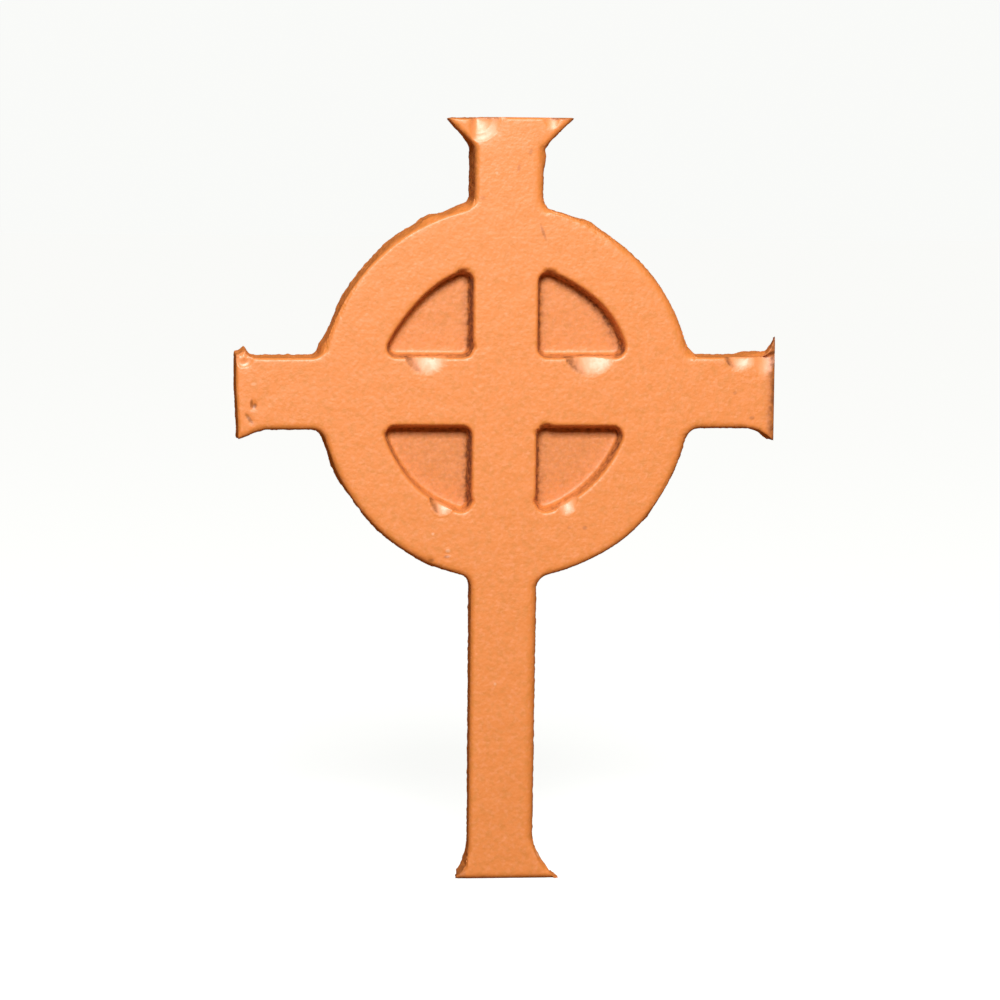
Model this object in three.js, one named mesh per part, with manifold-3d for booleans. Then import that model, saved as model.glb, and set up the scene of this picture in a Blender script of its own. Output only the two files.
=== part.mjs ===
// A cast ringed cross for a grave: one solid piece with flared ends, a flat ring round the
// crossing and four sunk quarter windows. Millimetres, +Z up, the front faces -Y.
// The origin is the centre of the foot's flat underside.

import * as THREE from "three";
import * as BufferGeometryUtils from "three/addons/utils/BufferGeometryUtils.js";
import Module from "manifold-3d";

// Reaches from the centre of the ring
const FOOT_REACH = 384;
const HEAD_REACH = 215;
const ARM_REACH = 212;

// Members, as seen from the front. The arms rise a little to the right, as cast
const SHAFT_WIDTH = 52;
const HEAD_WIDTH = 54.5;
const ARM_HEIGHT = 56;
const ARM_TILT = 0.35;
const RING_RADIUS = 146.8;
const RING_WIDTH = 46.5;
const CROTCH_RADIUS = 11;

// Section
const THICKNESS = 38;
const ARRIS_RADIUS = 5;
const BACK_CHAMFER = 1.5;
const SIDE_DRAFT = 1;

// Sunk windows. Their straight walls stand this far out from the middle of the four, which
// lies a little up and to the left of the ring's centre
const WINDOW_SIDE = 25.3;
const WINDOW_BASE = 26.6;
const WINDOWS_LEFT = 1.8;
const WINDOWS_UP = 1.3;
const WINDOW_DEPTH = 15;
const WINDOW_DRAFT = 2.2;
const WINDOW_CORNER = 8;
const WINDOW_RIM_RADIUS = 2.2;
const WINDOW_FLOOR_RADIUS = 2.5;

// Each flare leaves the edge of its member this long before the end, comes out this far,
// and meets the end at this angle from the member's own line. They differ as cast.
const FLARES = {
  headLeft: { length: 26, reach: 18, angle: 43 },
  headRight: { length: 25, reach: 24, angle: 47 },
  footLeft: { length: 27, reach: 11, angle: 40 },
  footRight: { length: 32, reach: 20, angle: 39 },
  leftArmTop: { length: 17, reach: 6, angle: 30 },
  leftArmBottom: { length: 24, reach: 7.5, angle: 20 },
  rightArmTop: { length: 14, reach: 14.5, angle: 58 },
  rightArmBottom: { length: 20, reach: 8.5, angle: 32 },
};

// Voids left by trapped air, cut into the front: how far to the side of the ring's centre,
// half sizes at the face, and depth. Those at the windows lie on the windows' lower edges
const WINDOW_VOIDS = {
  topLeft: { aside: -64.4, halfWidth: 17, halfHeight: 16, depth: 5 },
  topRight: { aside: 64.6, halfWidth: 19.5, halfHeight: 16.5, depth: 5.5 },
  bottomLeft: { aside: -50.5, halfWidth: 10.5, halfHeight: 11.4, depth: 4 },
  bottomRight: { aside: 47.6, halfWidth: 9, halfHeight: 11.8, depth: 4 },
};
const HEAD_VOIDS = {
  left: { aside: -16, halfWidth: 13.5, halfHeight: 21, depth: 6 },
  right: { aside: 32.5, halfWidth: 6.5, halfHeight: 10, depth: 3 },
};
const ARM_VOIDS = {
  left: { aside: -205.8, halfWidth: 7, halfHeight: 7.5, depth: 2.6 },
  right: { aside: 190.6, halfWidth: 19, halfHeight: 15.8, depth: 5 },
};
const VOID_LIP_ANGLE = 60;

// Fineness of the facets
const CHORD_SAG = 0.05;
const FLARE_STEPS = 6;
const ROUND_STEPS = 4;
const VOID_STEPS = 20;

const CUT_OVERRUN = 5;
const FRONT_Y = -THICKNESS / 2;
const shaftHalf = SHAFT_WIDTH / 2;
const headHalf = HEAD_WIDTH / 2;
const armHalf = ARM_HEIGHT / 2;
const windowRadius = RING_RADIUS - RING_WIDTH;
const rad = THREE.MathUtils.degToRad;
const point = (x, z) => new THREE.Vector2(x, z);

// Points along an arc, from one angle to the other, close enough together to look round
function arc(centre, radius, from, to) {
  const step = 2 * Math.acos(1 - Math.min(CHORD_SAG / radius, 0.5));
  const count = Math.max(2, Math.ceil(Math.abs(to - from) / step));
  return Array.from({ length: count + 1 }, (_, i) => {
    const angle = from + ((to - from) * i) / count;
    return point(centre.x + radius * Math.cos(angle), centre.y + radius * Math.sin(angle));
  });
}

// A flare, from where it leaves its member's edge to a little past the end's cut.
// The member runs along +x here, and its edge lies at +z.
function flare(reachOfEnd, edge, { length, reach, angle }) {
  const slope = Math.tan(rad(angle));
  const start = point(reachOfEnd - length, edge);
  const end = point(reachOfEnd, edge + reach);
  const knee = point(Math.max(start.x, end.x - reach / slope), edge);
  const curve = new THREE.QuadraticBezierCurve(start, knee, end);
  const past = 2 * CUT_OVERRUN;
  return [...curve.getPoints(FLARE_STEPS), point(end.x + past, end.y + past * slope)];
}

// The fillet in the crotch where the ring meets the upper edge of a member that runs along
// +x, going from the ring out to the edge
function crotch(edge) {
  const reach = RING_RADIUS + CROTCH_RADIUS;
  const height = edge + CROTCH_RADIUS;
  const centre = point(Math.sqrt(reach ** 2 - height ** 2), height);
  const towardsRing = Math.atan2(-centre.y, -centre.x);
  return arc(centre, CROTCH_RADIUS, towardsRing + 2 * Math.PI, 1.5 * Math.PI);
}

// One edge of a member that runs along +x, out from the ring and round to its end
const edgeOfMember = (end, edge, shape) => [...crotch(edge), ...flare(end, edge, shape)];

const turned = (points, angle) => points.map((p) => p.clone().rotateAround(point(0, 0), angle));
const mirrored = (points) => points.map((p) => point(p.x, -p.y)).reverse();

// Both edges of a member, counter-clockwise, turned to point the way it runs
function member(end, edge, lowerFlare, upperFlare, heading) {
  const lower = mirrored(edgeOfMember(end, edge, lowerFlare)).reverse();
  const upper = edgeOfMember(end, edge, upperFlare).reverse();
  return turned([...lower, ...upper], heading);
}

// The whole outline about the ring's centre, with the ring's own arcs between the members
function crossOutline() {
  const f = FLARES;
  const tilt = rad(ARM_TILT);
  const members = [
    member(ARM_REACH, armHalf, f.rightArmBottom, f.rightArmTop, tilt),
    member(HEAD_REACH, headHalf, f.headRight, f.headLeft, Math.PI / 2),
    member(ARM_REACH, armHalf, f.leftArmTop, f.leftArmBottom, Math.PI + tilt),
    member(FOOT_REACH, shaftHalf, f.footLeft, f.footRight, 1.5 * Math.PI),
  ];
  const outline = [];
  members.forEach((points, i) => {
    const next = members[(i + 1) % members.length][0];
    const last = points[points.length - 1];
    const from = Math.atan2(last.y, last.x);
    const sweep = THREE.MathUtils.euclideanModulo(Math.atan2(next.y, next.x) - from, 2 * Math.PI);
    const between = arc(point(0, 0), RING_RADIUS, from, from + sweep).slice(1, -1);
    outline.push(...points, ...between);
  });
  return outline;
}

// A quarter window in the upper right, counter-clockwise, with its three corners rounded
function windowOutline() {
  const r = WINDOW_CORNER;
  const inner = windowRadius - r;
  const square = point(WINDOW_SIDE + r, WINDOW_BASE + r);
  const low = point(Math.sqrt(inner ** 2 - square.y ** 2), square.y);
  const high = point(square.x, Math.sqrt(inner ** 2 - square.x ** 2));
  const lowAngle = Math.atan2(low.y, low.x);
  const highAngle = Math.atan2(high.y, high.x);
  return [
    ...arc(square, r, Math.PI, 1.5 * Math.PI),
    ...arc(low, r, -Math.PI / 2, lowAngle),
    ...arc(point(0, 0), windowRadius, lowAngle, highAngle).slice(1, -1),
    ...arc(high, r, highAngle, Math.PI),
  ];
}

// The outline moved outwards by a distance, each corner kept sharp
function offsetOutline(points, distance) {
  return points.map((p, i) => {
    const before = points[(i + points.length - 1) % points.length];
    const after = points[(i + 1) % points.length];
    const a = p.clone().sub(before).normalize();
    const b = after.clone().sub(p).normalize();
    const normal = point(a.y + b.y, -a.x - b.x);
    const scale = distance / (1 + a.dot(b));
    return point(p.x + normal.x * scale, p.y + normal.y * scale);
  });
}

// A closed solid through one outline at several levels, front level first. A level is
// { y, out }: its place along Y and how far the outline is moved outwards there.
function loft(points, levels) {
  const count = points.length;
  const rings = levels.map(({ y, out }) => offsetOutline(points, out).map((p) => [p.x, y, p.y]));
  const positions = rings.flat(2);
  const index = [];
  for (let level = 0; level + 1 < levels.length; level += 1) {
    for (let i = 0; i < count; i += 1) {
      const a = level * count + i;
      const b = level * count + ((i + 1) % count);
      index.push(a, a + count, b, b, a + count, b + count);
    }
  }
  const last = (levels.length - 1) * count;
  const capOf = (level) => THREE.ShapeUtils.triangulateShape(
    rings[level].map(([x, , z]) => point(x, z)), []);
  capOf(0).forEach(([a, b, c]) => index.push(a, b, c));
  capOf(levels.length - 1).forEach(([a, b, c]) => index.push(last + a, last + c, last + b));
  const geometry = new THREE.BufferGeometry();
  geometry.setAttribute("position", new THREE.Float32BufferAttribute(positions, 3));
  geometry.setIndex(index);
  return geometry;
}

// Levels of a rounded edge below a face: how deep, and how far back from the sharp edge
const roundedEdge = (radius) => Array.from({ length: ROUND_STEPS + 1 }, (_, i) => {
  const angle = ((Math.PI / 2) * i) / ROUND_STEPS;
  return { down: radius * (1 - Math.cos(angle)), back: radius * (1 - Math.sin(angle)) };
});

const frontArris = roundedEdge(ARRIS_RADIUS).map(({ down, back }) => ({
  y: FRONT_Y + down, out: -back }));

function bodyGeometry() {
  const levels = [
    ...frontArris,
    { y: THICKNESS / 2 - BACK_CHAMFER, out: SIDE_DRAFT },
    { y: THICKNESS / 2, out: SIDE_DRAFT - BACK_CHAMFER },
  ];
  return loft(crossOutline(), levels);
}

// The planes that cut the four ends flat, with the same rounded arris at the front
function endPlanesGeometry() {
  const corners = [
    point(-ARM_REACH, -FOOT_REACH), point(ARM_REACH, -FOOT_REACH),
    point(ARM_REACH, HEAD_REACH), point(-ARM_REACH, HEAD_REACH),
  ];
  const levels = [
    ...frontArris,
    { y: THICKNESS / 2 - BACK_CHAMFER, out: 0 },
    { y: THICKNESS / 2, out: -BACK_CHAMFER },
  ];
  return loft(corners, levels);
}

// The space sunk into the face for the upper right window
function windowGeometry() {
  const rim = roundedEdge(WINDOW_RIM_RADIUS).map(({ down, back }) => ({
    y: FRONT_Y + down, out: back }));
  const floorY = FRONT_Y + WINDOW_DEPTH;
  const floor = roundedEdge(WINDOW_FLOOR_RADIUS).reverse().map(({ down, back }) => ({
    y: floorY - down, out: -WINDOW_DRAFT - back }));
  const above = { y: FRONT_Y - CUT_OVERRUN, out: WINDOW_RIM_RADIUS };
  return loft(windowOutline(), [above, ...rim, ...floor]);
}

// An egg-shaped void whose cut through the face has the half sizes given
function voidGeometry({ aside, halfWidth, halfHeight, depth }, up) {
  const spread = 1 / Math.sin(rad(VOID_LIP_ANGLE));
  const bulge = depth / (1 - Math.cos(rad(VOID_LIP_ANGLE)));
  const geometry = new THREE.SphereGeometry(1, VOID_STEPS, VOID_STEPS / 2);
  geometry.rotateX(Math.PI / 2);
  geometry.scale(halfWidth * spread, bulge, halfHeight * spread);
  geometry.translate(aside, FRONT_Y + depth - bulge, up);
  return geometry;
}

function voidGeometries() {
  const base = WINDOWS_UP + WINDOW_BASE;
  const arcDrop = ({ aside }) => WINDOWS_UP
    - Math.sqrt(windowRadius ** 2 - (aside + WINDOWS_LEFT) ** 2);
  const armTop = ({ aside }) => armHalf + aside * Math.tan(rad(ARM_TILT));
  return [
    voidGeometry(WINDOW_VOIDS.topLeft, base),
    voidGeometry(WINDOW_VOIDS.topRight, base),
    voidGeometry(WINDOW_VOIDS.bottomLeft, arcDrop(WINDOW_VOIDS.bottomLeft)),
    voidGeometry(WINDOW_VOIDS.bottomRight, arcDrop(WINDOW_VOIDS.bottomRight)),
    voidGeometry(HEAD_VOIDS.left, HEAD_REACH),
    voidGeometry(HEAD_VOIDS.right, HEAD_REACH),
    voidGeometry(ARM_VOIDS.left, armTop(ARM_VOIDS.left)),
    voidGeometry(ARM_VOIDS.right, armTop(ARM_VOIDS.right)),
  ];
}

const wasm = await Module();
wasm.setup();

function toSolid(geometry) {
  geometry.deleteAttribute("normal");
  geometry.deleteAttribute("uv");
  const merged = BufferGeometryUtils.mergeVertices(geometry);
  return new wasm.Manifold(new wasm.Mesh({
    numProp: 3,
    vertProperties: new Float32Array(merged.attributes.position.array),
    triVerts: new Uint32Array(merged.index.array),
  }));
}

function toGeometry(solid) {
  const mesh = solid.getMesh();
  const geometry = new THREE.BufferGeometry();
  geometry.setAttribute("position", new THREE.BufferAttribute(mesh.vertProperties, 3));
  geometry.setIndex(new THREE.BufferAttribute(mesh.triVerts, 1));
  return geometry;
}

// The four windows: the upper right one, mirrored across the shaft and across the arms
function windowSolids() {
  const upperRight = toSolid(windowGeometry());
  return [[1, 1], [-1, 1], [-1, -1], [1, -1]].map(([x, z]) => upperRight
    .scale([x, 1, z])
    .translate([-WINDOWS_LEFT, 0, WINDOWS_UP]));
}

function crossSolid() {
  let solid = toSolid(bodyGeometry()).intersect(toSolid(endPlanesGeometry()));
  for (const cutter of [...windowSolids(), ...voidGeometries().map(toSolid)]) {
    solid = solid.subtract(cutter);
  }
  return solid;
}

const geometry = toGeometry(crossSolid());
geometry.computeVertexNormals();
const coat = new THREE.MeshStandardMaterial({ color: 0xf79e5b, roughness: 0.45, metalness: 0 });
const cross = new THREE.Mesh(geometry, coat);
cross.name = "ringed_cross";
cross.position.z = FOOT_REACH;

const memorial = new THREE.Group();
memorial.add(cross);

export default memorial;
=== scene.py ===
# A small ringed grave cross, cast in one piece, coated in satin terracotta and cut off flat
# at its ends. Trapped air has left voids in its front, below each window and at the tops.
# The front faces -Y, and the foot stands at the origin.

import math

import bpy
import numpy as np
from mathutils import Matrix, Vector
from mathutils.kdtree import KDTree


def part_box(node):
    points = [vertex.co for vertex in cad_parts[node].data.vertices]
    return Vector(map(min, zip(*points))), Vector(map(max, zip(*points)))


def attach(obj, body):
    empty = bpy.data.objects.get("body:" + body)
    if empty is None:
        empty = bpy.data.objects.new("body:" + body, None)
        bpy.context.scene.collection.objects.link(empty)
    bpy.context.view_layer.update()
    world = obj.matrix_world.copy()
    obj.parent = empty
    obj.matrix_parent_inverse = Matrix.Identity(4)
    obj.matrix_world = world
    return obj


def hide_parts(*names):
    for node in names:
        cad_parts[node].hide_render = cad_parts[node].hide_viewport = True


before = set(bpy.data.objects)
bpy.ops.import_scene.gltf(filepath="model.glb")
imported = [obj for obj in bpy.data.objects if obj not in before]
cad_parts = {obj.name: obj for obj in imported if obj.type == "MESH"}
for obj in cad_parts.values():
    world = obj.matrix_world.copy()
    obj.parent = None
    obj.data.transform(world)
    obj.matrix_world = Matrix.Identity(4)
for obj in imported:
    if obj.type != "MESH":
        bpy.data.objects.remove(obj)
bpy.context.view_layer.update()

MM = 0.001
NODE = "ringed_cross"

low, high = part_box(NODE)
FRONT = low.y
RING_CENTRE = 384 * MM

# Sizes of the casting in millimetres, seen from the front and measured from the ring's centre
THICKNESS = (high.y - low.y) / MM
FOOT = (low.z - RING_CENTRE) / MM
WINDOW_BASE = 27.9
WINDOW_SIDE = 25.3
WINDOW_MIDDLE = (-1.8, 1.3)
WINDOW_HALF_GAP = 26.6
WINDOW_RADIUS = 100.3
WINDOW_DEPTH = 15
ARRIS_RADIUS = 5
RIM_RADIUS = 2.2

# Fineness of the finished casting
GRAIN = 1.1 * MM
MOST_TRIANGLES = 190_000

# The camera, above and to the left of the cross and turned towards it
CAMERA_PLACE = Vector((-0.3829, -3.1130, 0.5839))
CAMERA_YAW = math.radians(-6.965)
CAMERA_PITCH = math.radians(-5.192)
CAMERA_ROLL = math.radians(-0.659)
CAMERA_LENS = 144.0

# The main light stands above the camera
KEY_ELEVATION = math.radians(33)
KEY_AZIMUTH = math.radians(-4)
KEY_DISTANCE = 3.2
KEY_SIZE = 1.0
KEY_POWER = 128


def choose(piece):
    """Selects this piece alone and makes it active."""
    bpy.ops.object.select_all(action="DESELECT")
    piece.select_set(True)
    bpy.context.view_layer.objects.active = piece


def finish_with(piece, kind, **settings):
    """Adds one modifier with these settings and applies it."""
    choose(piece)
    modifier = piece.modifiers.new(kind.title(), kind)
    for name, value in settings.items():
        setattr(modifier, name, value)
    bpy.ops.object.modifier_apply(modifier=modifier.name)


def smooth_step(value, start, end):
    """Zero before the start, one beyond the end, and a smooth rise between them."""
    t = np.clip((value - start) / (end - start), 0, 1)
    return t * t * (3 - 2 * t)


def hump(x, z, middle, half_width, half_height):
    """One at the middle, falling away smoothly in an oval."""
    u = (x - middle[0]) / half_width
    v = (z - middle[1]) / half_height
    return np.exp(-(u * u + v * v))


class Surface:
    """A piece's points in millimetres: x and z from the ring's centre, and depth below the face."""

    def __init__(self, piece):
        self.mesh = piece.data
        points = np.empty(len(self.mesh.vertices) * 3)
        self.mesh.vertices.foreach_get("co", points)
        points = points.reshape(-1, 3)
        self.x = points[:, 0] / MM
        self.depth = (points[:, 1] - FRONT) / MM
        self.z = (points[:, 2] - RING_CENTRE) / MM

    def normals(self):
        normals = np.empty(len(self.mesh.vertices) * 3)
        self.mesh.vertex_normals.foreach_get("vector", normals)
        return normals.reshape(-1, 3)

    def steep(self):
        """One on the side walls, zero on the face, the windows' floors and the back."""
        return smooth_step(1 - np.abs(self.normals()[:, 1]), 0.4, 0.9)

    def push_in(self, amount, reach):
        """Moves points back from the face, less and less down to this reach."""
        self.depth += amount * np.clip(1 - self.depth / reach, 0, 1)

    def keep(self):
        """Gives the points back to the piece, held inside the solid's box."""
        points = np.stack([self.x * MM, self.depth * MM + FRONT, self.z * MM + RING_CENTRE], 1)
        points = np.clip(points, low, high)
        self.mesh.vertices.foreach_set("co", points.ravel())
        self.mesh.update()

    def paint(self, name, amounts):
        """Stores an amount at each point, for the material to read."""
        layer = self.mesh.attributes.new(name, "FLOAT", "POINT")
        layer.data.foreach_set("value", np.clip(amounts, 0, 1).astype(np.float32))


def window_reach(x, z):
    """How far a point is inside the nearest window's outline, less than zero outside it."""
    across = np.abs(x - WINDOW_MIDDLE[0])
    up = np.abs(z - WINDOW_MIDDLE[1])
    straight = np.minimum(across - WINDOW_SIDE, up - WINDOW_HALF_GAP)
    return np.minimum(straight, WINDOW_RADIUS - np.hypot(across, up))


def wall_reach(x, z):
    """How far a point is inside a window, with the walls that face up left out."""
    across = np.abs(x - WINDOW_MIDDLE[0])
    up = np.abs(z - WINDOW_MIDDLE[1])
    above = np.where(z < 0, up - WINDOW_HALF_GAP, WINDOW_RADIUS - np.hypot(across, up))
    return np.minimum(across - WINDOW_SIDE, above)


# The voids that the solid has, in millimetres: middle, half sizes at the face, and depth
SOLID_VOIDS = {
    "top_left_window": dict(middle=(-64.4, 27.9), wide=17, high=16, depth=5),
    "top_right_window": dict(middle=(64.6, 27.9), wide=19.5, high=16.5, depth=5.5),
    "bottom_left_window": dict(middle=(-50.5, -86.3), wide=10.5, high=11.4, depth=4),
    "bottom_right_window": dict(middle=(47.6, -85.9), wide=9, high=11.8, depth=4),
    "head": dict(middle=(-16, 215), wide=13.5, high=21, depth=6),
    "head_notch": dict(middle=(32.5, 215), wide=6.5, high=10, depth=3),
    "left_arm": dict(middle=(-205.8, 26.7), wide=7, high=7.5, depth=2.6),
    "right_arm": dict(middle=(190.6, 29.2), wide=19, high=15.8, depth=5),
}
LIP_ANGLE = math.radians(60)


def solid_void(x, z, middle, wide, high, depth):
    """How deep the solid's egg-shaped void is below the face."""
    spread = 1 / math.sin(LIP_ANGLE)
    bulge = depth / (1 - math.cos(LIP_ANGLE))
    u = (x - middle[0]) / (wide * spread)
    v = (z - middle[1]) / (high * spread)
    return np.clip(np.sqrt(np.clip(1 - u * u - v * v, 0, 1)) * bulge - (bulge - depth), 0, None)


def scoop(x, z, edge, half_width, drop, depth):
    """A void trapped below an edge: its floor rises downwards and meets the face in an arc."""
    u = (x - edge[0]) / half_width
    arch = np.sqrt(np.clip(1 - u * u, 1e-6, 1))
    v = np.clip(edge[1] - z, 0, None) / (drop * arch)
    near_edge = 1 - smooth_step(z - edge[1], 1.5, 3.5)
    return near_edge * depth * arch ** 1.6 * np.clip(1 - v, 0, None) ** 1.7 * (np.abs(u) < 1)


def left_side_shade(x, z, edge, half_width, drop):
    """One on the steep left side of such a void, where the coat has painted shade, dull and brown.
    """
    u = (x - edge[0]) / half_width
    v = (edge[1] - z) / drop
    inside = (u * u + v * v < 1.1) & (v > -0.2)
    return inside * smooth_step(0.4 * v - 0.9 * u, 0.3, 0.85)


def head_void(x, z):
    """A quarter of a dish at the head's top left, with the ridges of its last bubbles."""
    r = np.hypot(x + 25.5, np.clip(213.8 - z, 0, None)) / 23
    dish = 6.2 * np.clip(1 - r, 0, None) ** 1.3
    for place, rise in ((0.5, 0.35), (0.8, 0.4)):
        dish -= rise * np.exp(-((r - place) / 0.06) ** 2)
    return np.clip(dish, 0, None) * smooth_step(x, -33, -26.5)


def left_arm_void(x, z):
    """A round pit with a button left in its middle."""
    r = np.hypot(x + 205.8, z - 26.3) / 7.2
    return 2.7 * np.clip(1 - r * r, 0, None) ** 0.8 - 2.2 * np.exp(-(r / 0.4) ** 2)


# Voids trapped below an edge, in millimetres: the middle of the edge, half width, drop and depth.
# The right arm's void is three bubbles run together.
SCOOPS = {
    "top_left_window": [((-64.2, WINDOW_BASE), 17, 16.8, 3.6)],
    "top_right_window": [((64.6, WINDOW_BASE), 20, 17.5, 4.0)],
    "bottom_left_window": [((-50.3, -83.5), 10.3, 14.8, 4.2)],
    "bottom_right_window": [((47.4, -83.5), 9.3, 14.8, 4.2)],
    "head_notch": [((32.5, 214), 6.5, 10.5, 3.0)],
    "right_arm": [((182.5, 29.3), 11.5, 12.5, 3.9), ((203.5, 29.4), 10.5, 16.5, 4.9),
                  ((194, 29.4), 12, 11, 2.6)],
}
OTHER_VOIDS = {"head": head_void, "left_arm": left_arm_void}

# How strong the painted shade on the left side of a scooped void is
SHADED_SIDES = {
    "top_left_window": 0.7,
    "top_right_window": 0.7,
    "bottom_left_window": 0.7,
    "bottom_right_window": 0.2,
    "right_arm": 0.6,
}


def real_void(name, x, z):
    """How deep the void of this name really is below the face."""
    if name in OTHER_VOIDS:
        return OTHER_VOIDS[name](x, z)
    return np.max([scoop(x, z, *bubble) for bubble in SCOOPS[name]], axis=0)


def cast_blank():
    """The cross as it left its mould: the solid's form with every edge softened."""
    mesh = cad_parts[NODE].data.copy()
    mesh.materials.clear()
    piece = bpy.data.objects.new("cross_casting", mesh)
    bpy.context.scene.collection.objects.link(piece)
    choose(piece)
    bpy.ops.object.mode_set(mode="EDIT")
    bpy.ops.mesh.select_all(action="SELECT")
    bpy.ops.mesh.remove_doubles(threshold=0.01 * MM)
    bpy.ops.object.mode_set(mode="OBJECT")
    finish_with(piece, "REMESH", mode="VOXEL", voxel_size=GRAIN)
    finish_with(piece, "SMOOTH", factor=0.5, iterations=3)
    return piece


def carve_voids(piece):
    """Gives each void its real shape in place of the solid's plain one."""
    surface = Surface(piece)
    x, z = surface.x, surface.z
    for name, plain in SOLID_VOIDS.items():
        was = solid_void(x, z, **plain)
        wanted = np.clip(real_void(name, x, z), 0, None)
        inside = smooth_step(was, 0.05, 0.5)
        new_depth = inside * wanted + (1 - inside) * np.maximum(surface.depth, wanted)
        hold = 1 - smooth_step(surface.depth - np.maximum(was, wanted), 0.5, 1.8)
        surface.depth += hold * (new_depth - surface.depth)
    surface.keep()
    finish_with(piece, "SMOOTH", factor=0.5, iterations=2)


def reround(surface, wall, front, was, radius_at, spread, end):
    """Changes the radius of the rounded edge that these walls meet the face in.

    The change fades out over this spread along the face, and down to this end along the wall.
    """
    outline = np.stack([surface.x, surface.z, np.zeros_like(surface.x)], 1)[wall]
    tree = KDTree(len(outline))
    for index, point in enumerate(outline):
        tree.insert(point, index)
    tree.balance()
    nearest = np.array([tree.find((surface.x[i], surface.z[i], 0))[1] for i in front])
    steps = outline[nearest][:, :2] - np.stack([surface.x[front], surface.z[front]], 1)
    inset = np.maximum(np.hypot(steps[:, 0], steps[:, 1]), 0.01)
    out_x, out_z = steps[:, 0] / inset, steps[:, 1] / inset
    radius = radius_at(out_x, out_z, surface.x[front], surface.z[front])
    shift = (was - radius) * np.clip(inset / was, 0, 1)
    shift *= 1 - smooth_step(inset, was, was + spread)
    surface.x[front] += shift * out_x
    surface.z[front] += shift * out_z
    depth = surface.depth[front]
    rest = radius + (depth - was) * (end - radius) / (end - was)
    near = inset < was + 1
    worn = np.where(depth < was, depth * radius / was, rest)
    surface.depth[front] = np.where(near & (depth < end), worn, depth)


def outer_radius(out_x, out_z, x, z):
    """Crisp edges on top, rounder ones on the right above the foot, and crisp arm ends."""
    facing_right = smooth_step(out_x, 0.2, 0.7) * (1 - smooth_step(-z, 350, 365))
    facing_up = smooth_step(out_z, 0.25, 0.75) * (1 - facing_right)
    facing_down = smooth_step(-out_z, 0.35, 0.75) * (x > 190)
    more = np.where(x > 195, 0.5, 2.2 * smooth_step(out_z, -0.75, -0.1))
    left_end = smooth_step(-out_x, 0.5, 0.9) * (x < -190)
    less = 2.3 * facing_up + 1.6 * facing_down + 2.0 * left_end
    return ARRIS_RADIUS + more * facing_right - less


def window_radius(out_x, out_z, x, z):
    """Rounder rims at the top and the sides of a window than at its bottom."""
    return RIM_RADIUS + 1.3 * (1 - smooth_step(out_z, -0.2, 0.5))


def wear_edges(piece):
    """Leaves the upper edges crisp, and rounds off the edges on the right and round the windows."""
    surface = Surface(piece)
    outside = np.hypot(surface.x, surface.z) > 120
    wall = outside & (surface.steep() > 0.9) & (surface.depth > 10) & (surface.depth < 28)
    front = np.flatnonzero(surface.depth < 12)
    reround(surface, wall, front, ARRIS_RADIUS, outer_radius, spread=12, end=12)
    inside = window_reach(surface.x, surface.z)
    near = ~outside & (inside < 1.5)
    wall = near & (surface.steep() > 0.9) & (surface.depth > 4) & (surface.depth < 9)
    front = np.flatnonzero(near & (inside > -14) & (surface.depth < 9))
    reround(surface, wall, front, RIM_RADIUS, window_radius, spread=8, end=9)
    surface.keep()


def lean_sides(piece):
    """The shaft tapers downwards and turns in at its back left. The head spreads at its front."""
    surface = Surface(piece)
    below = smooth_step(-surface.z, 138, 152)
    lower = np.clip((-surface.z - 150) / 235, 0, 1)
    left = below * smooth_step(-surface.x, 6, 22)
    right = below * smooth_step(surface.x, 6, 22)
    through = surface.depth / THICKNESS
    surface.x += left * (-1.3 + (3.1 + 1.2 * lower) * through)
    surface.x -= right * (0.5 + 0.8 * lower)
    flare = smooth_step(surface.z, 190, 207) * smooth_step(-surface.x, 20, 32)
    surface.x -= 4.4 * (1 - through) * flare
    surface.z -= 1.1 * smooth_step(surface.z, 200, 213) * smooth_step(-surface.x, 0, 45)
    surface.keep()


def shape_ends(piece):
    """Each flared end came out of the mould with its own faults."""
    surface = Surface(piece)
    left_arm_end(surface.x, surface.z)
    right_arm_end(surface.x, surface.z, surface.depth)
    foot_end(surface)
    surface.keep()


def left_arm_end(x, z):
    """The end leans, and its upper corner is broken off beyond its peak."""
    x += 2.0 * smooth_step(-x, 196, 206) * smooth_step(-z, -12, 34)
    corner = smooth_step(z, 27, 31)
    z += corner * (6.2 * np.exp(-((x + 203.6) / 2.8) ** 2) - 2.6 * smooth_step(-x, 206.5, 211.5))


def right_arm_end(x, z, depth):
    """The end is cut off square, with a corner that reaches down and a thin spur on top."""
    through = depth / THICKNESS
    x += 1.3 * smooth_step(x, 197, 208)
    z -= 2.0 * smooth_step(x, 203, 212) * smooth_step(-z, 26, 37)
    z -= 1.6 * smooth_step(x, 199, 207) * smooth_step(-z, 24, 32) * (1 - smooth_step(depth, 0.5, 5))
    # The spur thins towards the back, and the back edge beside it stands up
    spur = 1.22 * smooth_step(x, 198.5, 211) * (1 - 0.75 * smooth_step(through, 0.1, 0.8))
    z += (spur - 1) * np.clip(z - 29.4, 0, None) * smooth_step(x, 192, 196)
    ridge = smooth_step(x, 180, 198) * (1 - smooth_step(x, 203, 208))
    z += 2.8 * ridge * smooth_step(z, 23, 29) * smooth_step(depth, 4, 16)


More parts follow.
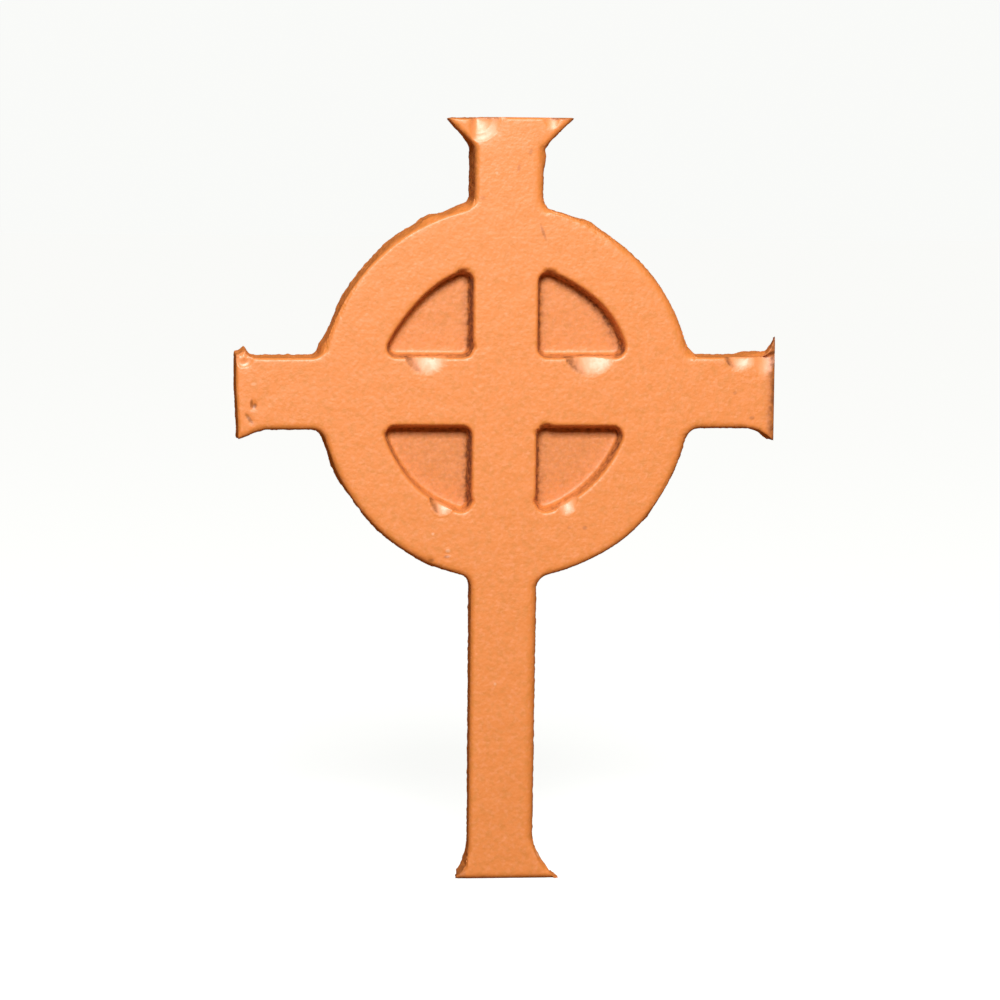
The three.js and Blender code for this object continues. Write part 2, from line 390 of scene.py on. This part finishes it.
def foot_end(surface):
    """The foot's two flares broke out of the mould unevenly."""
    x, z = surface.x, surface.z
    through = surface.depth / THICKNESS
    # The left flare is a small spur, set back from the face
    kept = 0.2 + 0.15 * smooth_step(-z, 364, 370) + 0.3 * smooth_step(-z, 373.5, 376)
    kept += 0.35 * smooth_step(-z, 376, 383)
    x += (1 - kept) * np.clip(-x - 27, 0, None) * smooth_step(-z, 345, 356)
    whole = 1 - 0.85 * smooth_step(-z, 371, 381)
    left = smooth_step(-z, 352, 366) * np.clip((-x - 27) / 8, 0, 1) * whole
    # The right flare starts with a step, and its facet turns away from the face
    kept = 0.5 + 0.25 * smooth_step(-z, 357.5, 360) + 0.38 * np.clip((-z - 362) / 20, 0, 1) ** 1.4
    x += (kept - 1) * np.clip(x - 25.2, 0, None) * smooth_step(-z, 338, 350)
    right = np.clip(x - 24.4 + 0.45 * np.clip(z + 359.6, None, 0), 0, 8) * whole
    right *= smooth_step(-z, 353, 361)
    surface.push_in(5.5 * left + 0.9 * right, 22)
    # Both turn in towards the back and run out straight to a sharp tip
    turn_in = 4.2 * through * smooth_step(np.abs(x), 28, 40) * smooth_step(-z, 364, 377)
    x -= np.sign(x) * turn_in
    out = np.abs(x)
    top = FOOT + np.where(x > 0, 1.6 * (42 - out) - 6.5 * through, 1.1 * (40.8 - out - 4 * through))
    z -= np.clip(z - top, 0, None) * smooth_step(out, 29, 33) * (z < -340)


# Where the sides swell or shrink: x, z, size and how far out from the middle, in millimetres
SWELLINGS = (
    (-37, 144, 8, 3.0),
    (-60, 134, 10, 3.1),
    (-86, 119, 18, 1.5),
    (64, 132, 8, 2.0),
    (145.7, 32.5, 5, 2.6),
    (-145, 35.6, 6, 2.6),
    (-135, 55, 14, -1.2),
    (-137, -47, 9, -1.2),
    (-118, -88, 18, -1.6),
    (98, -109, 32, 1.6),
    (110, -94, 6, 1.4),
    (-62, -134, 9, 1.0),
    (-80, 62, 30, -2.3),
    (82, 57, 32, 2.5),
    (-67, -74, 24, 1.4),
)


def swell_sides(piece):
    """Leaves the ring's outline as uneven as the mould made it."""
    surface = Surface(piece)
    x, z = surface.x.copy(), surface.z.copy()
    radius = np.maximum(np.hypot(x, z), 1)
    behind = smooth_step(surface.depth, 1, 9)
    for middle_x, middle_z, size, out in SWELLINGS:
        where = 1 if size > 20 else behind * smooth_step(radius, 128, 142)
        amount = out * where * hump(x, z, (middle_x, middle_z), size, size)
        surface.x += amount * x / radius
        surface.z += amount * z / radius
    # A lump on the head's right side, below its flare
    surface.x += 2.0 * behind * smooth_step(x, 18, 27) * hump(0, z, (0, 184.5), 1, 7.5)
    surface.keep()


def roughen(piece, name, size, height, middle, where):
    """Raises and sinks the surface like cloud, where the weight from where() allows it."""
    before = Surface(piece)
    weight = where(before)
    texture = bpy.data.textures.new(name, "CLOUDS")
    texture.noise_scale = size * MM
    texture.noise_depth = 2
    finish_with(piece, "DISPLACE", texture=texture, texture_coords="LOCAL", direction="NORMAL",
                strength=2 * height * MM, mid_level=middle)
    after = Surface(piece)
    after.x = before.x + weight * (after.x - before.x)
    after.depth = before.depth + weight * (after.depth - before.depth)
    after.z = before.z + weight * (after.z - before.z)
    after.keep()


def weather(piece):
    """Ragged sides, a gently uneven face and the small knocks of use."""
    roughen(piece, "side_lumps", 4.5, 1.0, 0.5, lambda s: smooth_step(s.depth, 3.5, 9) * s.steep())
    roughen(piece, "uneven_face", 14, 0.25, 0.8, lambda s: 1 - s.steep())
    surface = Surface(piece)
    x, z = surface.x, surface.z
    knocks = (1.3 * hump(x, z, (-198, -9.8), 2.0, 3.2)
              + 0.7 * hump(x, z, (-202.5, -18.5), 2.0, 2.2)
              + 0.7 * hump(x, z, (-199.8, -22), 2.0, 2.4)
              + 0.8 * hump(x, z, (-46.3, -125.8), 1.8, 2.0)
              + 0.8 * hump(x, z, (-58.8, -130.5), 2.6, 1.8)
              - 0.5 * hump(x, z, (-46.3, -122.5), 1.8, 1.4))
    surface.push_in(knocks, 6)
    surface.keep()


def thin_out(piece):
    """Keeps the fine triangles where the surface bends, and few where it is flat."""
    count = sum(len(polygon.vertices) - 2 for polygon in piece.data.polygons)
    finish_with(piece, "DECIMATE", ratio=min(1, MOST_TRIANGLES / count))
    Surface(piece).keep()


def window_painted_shade(surface, normal, pooled_and_highlight):
    """Painted shade on the windows' walls and on their floors, deepest in the floors' corners."""
    x, z, depth = surface.x, surface.z, surface.depth
    facing_up = np.clip(normal[:, 2], 0, 1)
    facing_down = np.clip(-normal[:, 2], 0, 1)
    steep = 1 - np.clip(-normal[:, 1], 0, 1)
    window = smooth_step(window_reach(x, z), -2.5, 0.5) * (depth < 17)
    # Walls facing up or down get less painted shade
    lit = facing_up * np.where(z > 0, 0.45, 0.85) + 0.5 * facing_down
    walls = window * smooth_step(steep, 0.1, 0.7) * (1 - lit) * (1 - pooled_and_highlight)
    walls *= smooth_step(depth, 0.3, 6 - 3 * facing_up)
    walls *= 1 - 0.6 * facing_up * smooth_step(depth, 10, 14)
    # Walls facing left get more painted shade
    left_facing = 0.72 + 0.28 * smooth_step(-normal[:, 0], -0.1, 0.7)
    reach = wall_reach(x, z)
    floors = window * (reach > 0) * smooth_step(depth, WINDOW_DEPTH - 2, WINDOW_DEPTH - 0.5)
    # Painted shade on the floors, deepest next to the walls
    corners = 0.62 * np.exp(-(np.clip(reach - 2, 0, None) / 3.4) ** 1.4)
    return left_facing * walls + floors * (np.where(z > 0, 0.10, 0.17) + corners)


def end_painted_shade(surface, normal):
    """Painted shade on the right end, the head's left side and the foot's left spur, and a dark
    line along the head's top edge.
    """
    x, z, depth = surface.x, surface.z, surface.depth
    right_end = 0.6 * smooth_step(x, 203.5, 210.5) * (1 - smooth_step(depth, 8, 14))
    top_line = 0.6 * smooth_step(z, 212.8, 214) * smooth_step(np.abs(x - 12), 19, 22)
    top_line *= 1 - smooth_step(depth, 3, 8)
    spur = 0.45 * smooth_step(-x, 27.5, 31) * smooth_step(-z, 362, 370) * (depth < 20)
    head_side = 0.3 * smooth_step(-normal[:, 0], 0.6, 0.9) * smooth_step(z, 146, 154)
    return right_end + top_line + spur + head_side


def paint_shade_and_highlights(piece):
    """Stores where shade is painted, and where the voids are pale: pooled paint with a painted
    highlight.
    """
    surface = Surface(piece)
    x, z = surface.x, surface.z
    normal = surface.normals()
    pooled_and_highlight = np.zeros_like(x)
    for name in SOLID_VOIDS:
        pooled_and_highlight = np.maximum(pooled_and_highlight, smooth_step(real_void(name, x, z), 0.1, 1.2))
    pooled_and_highlight *= 1 - smooth_step(surface.depth, 6, 8)
    side_shade = np.zeros_like(x)
    for name, amount in SHADED_SIDES.items():
        edge, half_width, drop, _ = SCOOPS[name][0]
        side_shade += amount * left_side_shade(x, z, edge, half_width, drop)
    side_shade *= smooth_step(pooled_and_highlight, 0, 0.4) * (surface.depth < 7)
    # All painted shade: the windows, the ends and the voids' left sides
    painted_shade = window_painted_shade(surface, normal, pooled_and_highlight) + end_painted_shade(surface, normal) + side_shade
    pooled_and_highlight *= 1 - np.clip(1.5 * side_shade, 0, 1)
    surface.paint("painted_shade", painted_shade)
    surface.paint("pooled_and_highlight", pooled_and_highlight)


class Number:
    """A node's output that plain arithmetic can use. Each sum adds its own node."""

    def __init__(self, finish, socket):
        self.finish = finish
        self.socket = socket

    def maths(self, operation, first, second):
        node = self.finish.add("ShaderNodeMath", {"operation": operation}, {0: first, 1: second})
        return Number(self.finish, node.outputs[0])

    def __add__(self, other):
        return self.maths("ADD", self, other)

    __radd__ = __add__

    def __sub__(self, other):
        return self.maths("SUBTRACT", self, other)

    def __rsub__(self, other):
        return self.maths("SUBTRACT", other, self)

    def __mul__(self, other):
        return self.maths("MULTIPLY", self, other)

    __rmul__ = __mul__

    def between(self, start, end):
        """Zero below the start, one above the end, and a smooth rise from one to the other."""
        node = self.finish.add("ShaderNodeMapRange", {"interpolation_type": "SMOOTHSTEP"},
                               {"Value": self, "From Min": start, "From Max": end})
        return Number(self.finish, node.outputs["Result"])


class Finish:
    """A material whose nodes are added one by one."""

    def __init__(self, name):
        self.material = bpy.data.materials.new(name)
        self.material.use_nodes = True
        self.tree = self.material.node_tree
        self.shader = self.tree.nodes["Principled BSDF"]
        self.place = self.add("ShaderNodeTexCoord").outputs["Object"]

    def add(self, kind, settings=None, inputs=None):
        node = self.tree.nodes.new(kind)
        for name, value in (settings or {}).items():
            setattr(node, name, value)
        for name, value in (inputs or {}).items():
            self.put(node.inputs[name], value)
        return node

    def put(self, socket, value):
        if isinstance(value, Number):
            value = value.socket
        if isinstance(value, bpy.types.NodeSocket):
            self.tree.links.new(value, socket)
        else:
            socket.default_value = value

    def noise(self, size, detail=2.0, roughness=0.5):
        """Soft random blotches of about this size in millimetres, from 0 to 1."""
        node = self.add("ShaderNodeTexNoise", {}, {
            "Vector": self.place, "Scale": 1 / (size * MM), "Detail": detail,
            "Roughness": roughness})
        return Number(self, node.outputs["Fac"])

    def stored(self, name):
        """An amount painted on the piece's points."""
        node = self.add("ShaderNodeAttribute", {"attribute_name": name})
        return Number(self, node.outputs["Fac"])

    def spot(self, x, z, half_width, half_height, turn=0):
        """One in the middle of an oval mark on the face, in millimetres, and zero outside it."""
        around = self.add("ShaderNodeMapping", {"vector_type": "TEXTURE"}, {
            "Vector": self.place,
            "Location": (x * MM, FRONT, z * MM + RING_CENTRE),
            "Rotation": (0, math.radians(turn), 0),
            "Scale": (half_width * MM, 10 * MM, half_height * MM)})
        length = self.add("ShaderNodeVectorMath", {"operation": "LENGTH"}, {0: around.outputs[0]})
        return 1 - Number(self, length.outputs["Value"]).between(0.3, 1.1)

    def blend(self, amount, first, second):
        """One colour going over to another."""
        node = self.add("ShaderNodeMix", {"data_type": "RGBA"}, {0: amount, 6: first, 7: second})
        return node.outputs[2]


COAT = (0.80, 0.262, 0.058, 1)
COAT_PINK = (0.84, 0.30, 0.10, 1)
COAT_BROWN = (0.68, 0.235, 0.040, 1)
# A dark stain for the small marks, also used for painted shade
STAIN_AND_SHADE = (0.20, 0.048, 0.001, 1)
# Pale coat in the voids: pooled paint, and a painted highlight
POOLED_AND_HIGHLIGHT = (0.87, 0.35, 0.15, 1)
# Pale flecks, and painted highlights on the foot's flares
FLECK_AND_HIGHLIGHT = (0.95, 0.62, 0.42, 1)


# Small marks on the face: x, z, half width, half height, turn in degrees and strength
DARK_MARKS = (
    (-199.7, -8.6, 1.6, 4.8, 0, 0.65),
    (-197.3, -10.3, 2.3, 3.0, 30, 0.75),
    (-201.3, -20.4, 1.9, 6.4, -36, 0.6),
    (26.7, 126, 1.7, 7.6, -20, 0.42),
    (-21, 152.3, 2.8, 2.2, 0, 0.25),
    (6.9, 175.7, 1.8, 4.0, 10, 0.3),
    (16.2, 188.3, 1.8, 3.6, 15, 0.28),
    (180.2, 1.2, 2.2, 2.0, 0, 0.3),
    (194.1, -18.4, 2.8, 2.0, 0, 0.4),
    (62.5, -105.3, 2.4, 2.2, 0, 0.4),
    (49.9, -105.3, 2.0, 1.8, 0, 0.2),
    (-46.3, -128, 3.4, 1.6, 0, 0.5),
    (-58.5, -131, 3.2, 2.0, 0, 0.55),
)
# The last two pale marks are painted highlights on the foot's flares
PALE_FLECKS_AND_HIGHLIGHTS = (
    (-45.5, -123.3, 2.4, 1.8, 0, 0.5),
    (-10.3, 171.7, 1.6, 1.6, 0, 0.4),
    (-198, 6.8, 3.0, 1.6, 0, 0.2),
    (-57.4, -110, 1.6, 1.6, 0, 0.4),
    (-7.2, -228.5, 1.6, 1.6, 0, 0.4),
    (-28.7, -364.5, 2.0, 3.4, 0, 0.5),
    (29.5, -364.8, 2.0, 3.8, -30, 0.5),
)


def satin_terracotta():
    """The coat: satin terracotta with a fine stipple, with painted shade in the corners and on
    shaded sides, and pale with a painted highlight in the voids.
    """
    coat = Finish("satin_terracotta_coat")
    painted_shade = coat.stored("painted_shade")
    pooled_and_highlight = coat.stored("pooled_and_highlight")
    blotches = coat.noise(5, detail=3).between(0.42, 0.72)
    flush = coat.noise(3.6, detail=2).between(0.48, 0.72)
    colour = coat.blend(0.75 * blotches, COAT, COAT_BROWN)
    colour = coat.blend(0.8 * flush, colour, COAT_PINK)
    # Painted shade, mottled
    painted_shade = painted_shade * (0.7 + 0.8 * coat.noise(4, detail=3).between(0.35, 0.7))
    # Pale in the voids: pooled paint and painted highlight
    colour = coat.blend(0.5 * pooled_and_highlight, colour, POOLED_AND_HIGHLIGHT)
    colour = coat.blend(painted_shade, colour, STAIN_AND_SHADE)
    for *place, strength in DARK_MARKS:
        colour = coat.blend(strength * coat.spot(*place), colour, STAIN_AND_SHADE)
    for *place, strength in PALE_FLECKS_AND_HIGHLIGHTS:
        colour = coat.blend(strength * coat.spot(*place), colour, FLECK_AND_HIGHLIGHT)
    coat.put(coat.shader.inputs["Base Color"], colour)
    rough = 0.47 + 0.06 * blotches - 0.05 * pooled_and_highlight + 0.3 * painted_shade
    coat.put(coat.shader.inputs["Roughness"], rough)
    coat.shader.inputs["Specular IOR Level"].default_value = 0.85
    stipple = coat.noise(3.2, detail=1.5) * (1 - 0.8 * pooled_and_highlight)
    bump = coat.add("ShaderNodeBump", {}, {
        "Strength": 1.0, "Distance": 0.28 * MM, "Height": stipple})
    coat.put(coat.shader.inputs["Normal"], bump.outputs["Normal"])
    return coat.material


def photo_camera():
    data = bpy.data.cameras.new("photo_camera")
    data.lens = CAMERA_LENS
    data.sensor_width = 36
    camera = bpy.data.objects.new("photo_camera", data)
    turn = (Matrix.Rotation(CAMERA_YAW, 4, "Z")
            @ Matrix.Rotation(math.pi / 2 + CAMERA_PITCH, 4, "X")
            @ Matrix.Rotation(-CAMERA_ROLL, 4, "Z"))
    camera.matrix_world = Matrix.Translation(CAMERA_PLACE) @ turn
    bpy.context.scene.collection.objects.link(camera)
    bpy.context.scene.camera = camera


def area_light(name, azimuth, elevation, distance, size, power):
    """A soft square light aimed at the middle of the cross. Azimuth 0 is straight in front."""
    aim = Vector((0, 0, (low.z + high.z) / 2))
    away = Vector((math.sin(azimuth) * math.cos(elevation),
                   -math.cos(azimuth) * math.cos(elevation), math.sin(elevation)))
    data = bpy.data.lights.new(name, "AREA")
    data.size = size
    data.energy = power
    light = bpy.data.objects.new(name, data)
    light.location = aim + away * distance
    light.rotation_euler = away.to_track_quat("Z", "Y").to_euler()
    bpy.context.scene.collection.objects.link(light)


def studio():
    """A plain pale floor and soft light."""
    bpy.ops.object.select_all(action="DESELECT")
    bpy.ops.mesh.primitive_plane_add(size=40, location=(0, 0, low.z))
    floor = bpy.context.object
    floor.name = "floor"
    bpy.ops.object.mode_set(mode="EDIT")
    bpy.ops.mesh.select_all(action="DESELECT")
    bpy.ops.object.mode_set(mode="OBJECT")
    for edge in floor.data.edges:
        ends = [floor.data.vertices[index] for index in edge.vertices]
        edge.select = all(end.co.y > 0 for end in ends)
    bpy.ops.object.mode_set(mode="EDIT")
    bpy.ops.mesh.select_mode(type="EDGE")
    bpy.ops.mesh.extrude_region_move(TRANSFORM_OT_translate={"value": (0, 0, 12)})
    bpy.ops.object.mode_set(mode="OBJECT")
    floor.visible_diffuse = False
    floor.visible_glossy = False
    finish = Finish("pale_floor")
    finish.shader.inputs["Base Color"].default_value = (0.3, 0.3, 0.3, 1)
    finish.shader.inputs["Roughness"].default_value = 1.0
    finish.shader.inputs["Emission Color"].default_value = (0.96, 1, 1, 1)
    finish.shader.inputs["Emission Strength"].default_value = 0.93
    floor.data.materials.append(finish.material)
    area_light("key", KEY_AZIMUTH, KEY_ELEVATION, KEY_DISTANCE, KEY_SIZE, KEY_POWER)
    world = bpy.data.worlds.new("studio")
    world.use_nodes = True
    background = world.node_tree.nodes["Background"]
    background.inputs["Color"].default_value = (1, 0.42, 0.08, 1)
    background.inputs["Strength"].default_value = 0.17
    bpy.context.scene.world = world
    bpy.context.scene.view_settings.view_transform = "Standard"


photo_camera()
studio()
casting = cast_blank()
wear_edges(casting)
lean_sides(casting)
swell_sides(casting)
carve_voids(casting)
shape_ends(casting)
weather(casting)
thin_out(casting)
paint_shade_and_highlights(casting)
choose(casting)
bpy.ops.object.shade_smooth()
casting.data.materials.append(satin_terracotta())
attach(casting, "root")
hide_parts(NODE)
print("triangles", sum(len(polygon.vertices) - 2 for polygon in casting.data.polygons))
